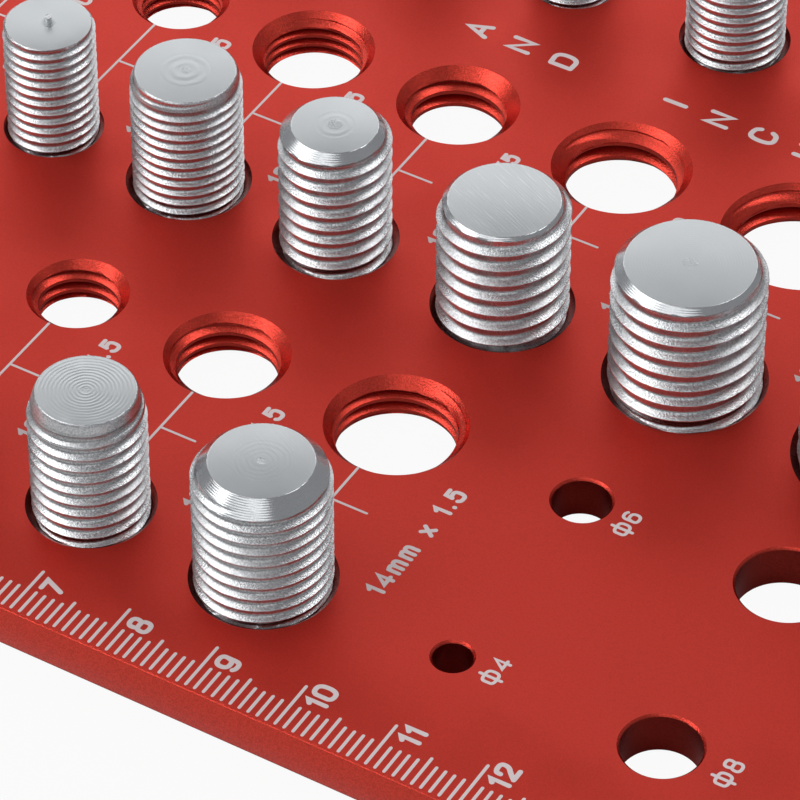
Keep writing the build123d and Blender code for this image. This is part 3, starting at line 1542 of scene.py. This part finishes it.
@dataclass
class Marks:
    """The pale marks on the plate: ruler, rules between the pairs, sizes and unit words. The count
    is of the lines that are drawn so far."""

    plate: Plate
    form: MarkForm = field(default_factory=MarkForm)
    bm: bmesh.types.BMesh = field(default_factory=bmesh.new)
    count: int = 0

    def build(self, paints: Paints) -> bpy.types.Object:
        """Builds the marks.

        Args:
            paints: The materials.

        Returns:
            The piece.
        """
        self.add_ruler()
        self.add_pairs()
        self.add_gauges()
        self.add_title()
        self.bm.normal_update()
        bmesh.ops.solidify(self.bm, geom=self.bm.faces[:], thickness=self.form.thickness)
        bmesh.ops.recalc_face_normals(self.bm, faces=self.bm.faces)
        piece = new_piece("marks", self.bm, [paints.surface("pale_mark", PALE_MARK)])
        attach(piece, "root")
        return piece

    def add_ruler(self) -> None:
        """Adds the ruler's millimetres along the plate's edge, with its centimetre numbers."""
        whole, half, short = self.form.tick_lengths
        across, along = self.form.digit_offset
        spread, row = self.form.shake_grain
        for mark in range(1, self.form.ruler_length + 1):
            length = short if mark % 5 else half if mark % 10 else whole
            shake = self.form.tick_shake * noise.noise(Vector((mark * spread, row, 0.0)))
            x = self.plate.low.x + mark + shake
            start = self.plate.low.y + self.tick_inset(mark) - shake
            self.rule((x, start), (x, start + length + 2 * shake), self.form.tick_width)
            if mark % 10 == 0:
                number = str(mark // 10)
                shift = self.form.second_digit_shift * (len(number) - 1)
                self.write(
                    number, self.form.digits, self.plate.low.x + mark + across,
                    self.plate.low.y + along + shift,
                )

    def tick_inset(self, mark: int) -> float:
        """Gives how far from the edge a millimetre's tick starts, past the plate's round corner.

        Args:
            mark: The millimetre.

        Returns:
            The inset.
        """
        corner = self.plate.form.corner_radius
        rounded = corner - math.sqrt(corner**2 - max(corner - mark, 0.0) ** 2)
        return max(
            self.form.tick_start, rounded + self.plate.form.edge_break + self.form.corner_gap
        )

    def add_title(self) -> None:
        """Adds the unit words between the metric and the inch sizes, letter by letter."""
        y = self.form.title_y + self.plate.low.y
        for word, start in self.form.title_words:
            for number, letter in enumerate(word):
                x = start + number * self.form.title_pitch + self.plate.low.x
                self.write(letter, self.form.title, x, y)

    def add_pairs(self) -> None:
        """Adds the rule and the size between each stud and its tapped hole."""
        for name, tap in self.plate.mounts.items():
            kind, size_name = name.split("_", 1)
            if kind != TAP:
                continue
            size = ThreadSize(size_name)
            stud = self.plate.mounts[f"{STUD}_{size_name}"]
            rim = self.plate.rim(tap) + self.form.rule_gap
            middle = (stud.y + tap.y) / 2
            self.rule((tap.x, stud.y + rim), (tap.x, tap.y - rim), self.form.rule_width)
            self.rule((tap.x, middle), (tap.x + self.form.branch, middle), self.form.rule_width)
            place = LABELS.get(size_name, LabelPlace())
            self.write(
                size.label, self.form.labels.scaled(place.scale),
                tap.x + stud.radius + place.gap, middle + place.shift,
            )

    def add_gauges(self) -> None:
        """Adds the diameter beside each gauge hole."""
        for name, mount in self.plate.mounts.items():
            if name.startswith(GAUGE):
                place = LABELS.get(name, LabelPlace())
                x = mount.x + mount.radius + place.gap
                text = f"{DIAMETER_SIGN}{2 * mount.radius:.0f}"
                self.write(text, self.form.gauges.scaled(place.scale), x, mount.y + place.shift)

    def write(self, text: str, lettering: Lettering, x: float, y: float) -> None:
        """Writes a word along +Y, with its top towards -X.

        Args:
            text: The word.
            lettering: Its size.
            x: Middle of the word's height.
            y: Middle of its length.
        """
        gap = lettering.gap / lettering.unit
        total = sum(GLYPHS[letter][0] + gap for letter in text) - gap
        along = -total / 2
        for letter in text:
            width, strokes = GLYPHS[letter]
            for stroke in strokes:
                line = [
                    (x - (v - GRID_HEIGHT / 2) * lettering.unit, y + (along + u) * lettering.unit)
                    for u, v in stroke.line()
                ]
                self.ribbon(line, lettering.stroke)
            along += width + gap

    def rule(self, start: Point, end: Point, width: float) -> None:
        """Adds a straight line.

        Args:
            start: Its start.
            end: Its end.
            width: Its width.
        """
        self.ribbon([start, end], width)

    def ribbon(self, line: Sequence[Point], width: float) -> None:
        """Adds a flat line with round ends. Each lies a little higher than the one it crosses.

        Args:
            line: Its middle line.
            width: Its width.
        """
        self.count += 1
        points = [Vector(point) for point in line]
        is_closed = len(points) > 2 and (points[0] - points[-1]).length < LEVEL
        if is_closed:
            points.pop()
        layer = self.count % self.form.layers
        low = self.plate.thickness + self.form.lift + self.form.layer_step * layer
        sides = []
        for number, point in enumerate(points):
            before = points[number - 1] if number or is_closed else point
            is_last = number + 1 == len(points) and not is_closed
            after = point if is_last else points[(number + 1) % len(points)]
            into = (point - before).normalized()
            out = (after - point).normalized()
            along = (into + out).normalized()
            across = Vector((-along.y, along.x))
            square = max(abs(along.dot(out)), abs(along.dot(into)), self.form.corner_limit)
            reach = across * (width / 2 / square)
            z = low + self.form.line_rise * number / len(points)
            sides.append((
                self.bm.verts.new((*(point + reach), z)),
                self.bm.verts.new((*(point - reach), z)),
            ))
        if is_closed:
            sides.append(sides[0])
        for (left, right), (next_left, next_right) in zip(sides, sides[1:]):
            self.bm.faces.new((right, next_right, next_left, left))
        if not is_closed:
            self.round_end(points[0], sides[0][0], sides[0][1])
            self.round_end(points[-1], sides[-1][1], sides[-1][0])

    def round_end(self, centre: Vector, first: bmesh.types.BMVert,
                  last: bmesh.types.BMVert) -> None:
        """Rounds one end of a flat line.

        Args:
            centre: The end's middle.
            first: Where the half circle starts.
            last: Where it ends, going anticlockwise.
        """
        arm = first.co.xy - centre
        steps = self.form.end_steps
        arc = [
            self.bm.verts.new(
                (*(centre + Matrix.Rotation(math.pi * step / steps, 2) @ arm), first.co.z)
            )
            for step in range(1, steps)
        ]
        self.bm.faces.new((first, *arc, last))


# Stage


@dataclass(frozen=True)
class View:
    """The camera's place and lens in millimetres, and its turns in degrees: how far it is turned
    about the upright from looking along +Y, tilted up from looking straight down, and rolled. It
    shows nothing nearer than the nearest distance."""

    place: tuple[float, float, float] = (215.128, -395.528, 373.792)
    turn: float = 30.791
    tilt: float = 47.083
    roll: float = 0.163
    lens: float = 242.50
    sensor: float = 36.0
    nearest: float = 10.0

    @property
    def facing(self) -> float:
        """The direction from the object to the camera, seen from above, in radians."""
        return math.radians(self.turn) - math.pi / 2

    @property
    def matrix(self) -> Matrix:
        """The camera's place and turns, in metres."""
        turned = Matrix.Translation(Vector(self.place) * MM)
        for angle, axis in ((self.turn, "Z"), (self.tilt, "X"), (self.roll, "Z")):
            turned @= Matrix.Rotation(math.radians(angle), 4, axis)
        return turned


@dataclass(frozen=True)
class Softbox:
    """A soft light, with its sizes in metres. Azimuth is from the camera's side, positive to its
    right, and elevation over the floor, both in degrees."""

    name: str
    azimuth: float
    elevation: float
    width: float
    height: float
    radiance: float
    distance: float = 1.4


SOFTBOXES = (
    Softbox("back_light", 180, 31, width=0.85, height=0.27, radiance=0.92, distance=0.42),
    Softbox("left_light", -85, 45, width=0.9, height=0.9, radiance=2.1),
    Softbox("right_light", 98, 59, width=0.5, height=0.6, radiance=2.7),
    Softbox("front_left_light", -36, 46, width=2.1, height=0.34, radiance=1.0),
    Softbox("top_light", -90, 73, width=0.7, height=0.5, radiance=0.7),
)


@dataclass(frozen=True)
class Room:
    """The room's colours and its floor. The floor glows a little to the camera and, beyond the
    object's sides, to what reflects it. Sizes are in millimetres."""

    light: Colour = (0.27, 0.27, 0.28)
    backdrop: Colour = (1.0, 1.0, 1.0)
    floor: Colour = (0.45, 0.45, 0.45)
    floor_roughness: float = 0.9
    floor_size: float = 1500.0
    floor_drop: float = 0.02
    glow_seen: float = 0.94
    glow_reflected: float = 0.34


@dataclass
class Stage:
    """The camera, the floor and the light. The footprint is the object's highest corner, in
    millimetres."""

    view: View
    footprint: Vector
    room: Room = field(default_factory=Room)

    def build(self) -> bpy.types.Object:
        """Builds the stage.

        Returns:
            The floor.
        """
        self.add_camera()
        floor = self.add_floor()
        self.add_world()
        for softbox in SOFTBOXES:
            self.add_softbox(softbox)
        bpy.context.scene.view_settings.view_transform = "Standard"
        return floor

    def add_camera(self) -> None:
        """Adds the camera at the photograph's place."""
        data = bpy.data.cameras.new("camera")
        data.lens = self.view.lens
        data.sensor_width = self.view.sensor
        data.clip_start = self.view.nearest * MM
        camera = bpy.data.objects.new("camera", data)
        camera.matrix_world = self.view.matrix
        bpy.context.scene.collection.objects.link(camera)
        bpy.context.scene.camera = camera

    def add_floor(self) -> bpy.types.Object:
        """Adds the pale floor, nearly white to the camera, with the object's shadow on it.

        Returns:
            The floor.
        """
        bm = bmesh.new()
        bmesh.ops.create_grid(bm, x_segments=1, y_segments=1, size=self.room.floor_size)
        bmesh.ops.translate(bm, vec=(0, 0, -self.room.floor_drop), verts=bm.verts)
        floor = new_piece("floor", bm, [self.floor_material()])
        return floor

    def floor_material(self) -> bpy.types.Material:
        """Makes the floor's material.

        Returns:
            The material.
        """
        material = bpy.data.materials.new("pale_floor")
        material.use_nodes = True
        tree = NodeTree(material.node_tree)
        paint = material.node_tree.nodes["Principled BSDF"]
        tree.put(paint, "Base Color", (*self.room.floor, 1.0))
        tree.put(paint, "Roughness", self.room.floor_roughness)
        glow = tree.add("Emission", {"Strength": 1.0})
        path = tree.add("LightPath").outputs
        place = tree.vector("ABSOLUTE", tree.add("TexCoord").outputs["Object"]).outputs["Vector"]
        beyond = tree.vector("SUBTRACT", place, (*(self.footprint.xy * MM), 1.0))
        apart = tree.add("SeparateXYZ", {"Vector": beyond.outputs["Vector"]}).outputs
        is_open = tree.math("GREATER_THAN", tree.math("MAXIMUM", apart["X"], apart["Y"]), 0.0)
        glossy = tree.math("MULTIPLY", path["Is Glossy Ray"], is_open)
        glossy = tree.math("MULTIPLY", glossy, self.room.glow_reflected)
        seen = tree.math("MULTIPLY", path["Is Camera Ray"], self.room.glow_seen)
        share = tree.math("MAXIMUM", seen, glossy)
        mix = tree.add("MixShader", {0: share, 1: paint.outputs[0], 2: glow.outputs[0]})
        tree.put(material.node_tree.nodes["Material Output"], "Surface", mix.outputs[0])
        return material

    def add_world(self) -> None:
        """Adds the room's even grey light, white to the camera."""
        world = bpy.data.worlds.new("studio")
        world.use_nodes = True
        tree = NodeTree(world.node_tree)
        light = world.node_tree.nodes["Background"]
        tree.put(light, "Color", (*self.room.light, 1.0))
        backdrop = tree.add("Background", {"Color": (*self.room.backdrop, 1.0)})
        is_seen = tree.add("LightPath").outputs["Is Camera Ray"]
        mix = tree.add("MixShader", {0: is_seen, 1: light.outputs[0], 2: backdrop.outputs[0]})
        tree.put(world.node_tree.nodes["World Output"], "Surface", mix.outputs[0])
        bpy.context.scene.world = world

    def add_softbox(self, softbox: Softbox) -> None:
        """Adds an area light that faces the object.

        Args:
            softbox: The light.
        """
        data = bpy.data.lights.new(softbox.name, "AREA")
        data.shape = "RECTANGLE"
        data.size = softbox.width
        data.size_y = softbox.height
        data.energy = softbox.radiance * math.pi * softbox.width * softbox.height
        light = bpy.data.objects.new(softbox.name, data)
        azimuth = self.view.facing + math.radians(softbox.azimuth)
        elevation = math.radians(softbox.elevation)
        level = Vector((math.cos(azimuth), math.sin(azimuth), 0))
        out = level * math.cos(elevation) + Vector((0, 0, math.sin(elevation)))
        light.location = out * softbox.distance
        light.rotation_euler = out.to_track_quat("Z", "Y").to_euler()
        bpy.context.scene.collection.objects.link(light)


# Whole scene


def plate_studs(plate: Plate, view: View) -> list[Stud]:
    """Takes the studs of the record, each with its own look, seat and height.

    Args:
        plate: The plate that they stand on.
        view: The view, which their threads are turned to.

    Returns:
        The studs.
    """
    studs = []
    for name, mount in plate.mounts.items():
        kind, size = name.split("_", 1)
        if kind == STUD:
            rim = plate.rim(plate.mounts[f"{TAP}_{size}"])
            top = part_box(name)[1].z / MM
            look = STUD_LOOKS.get(size, StudLook())
            studs.append(Stud(ThreadSize(size), mount, rim, top, look, view.facing))
    return studs


def report(piece: bpy.types.Object) -> None:
    """Logs a finished piece.

    Args:
        piece: The piece.
    """
    log.info("%s: %d faces", piece.name, len(piece.data.polygons))


def main() -> None:
    """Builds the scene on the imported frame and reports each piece."""
    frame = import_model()
    view = View()
    paints = Paints()
    plate = Plate(round_mounts(frame["record"]), *(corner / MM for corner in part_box("plate")))
    report(plate.build(paints))
    report(Marks(plate).build(paints))
    for stud in plate_studs(plate, view):
        report(stud.build(paints))
    report(Stage(view, plate.high).build())


if __name__ == "__main__":
    logging.basicConfig(level=logging.INFO, format="%(message)s")
    main()
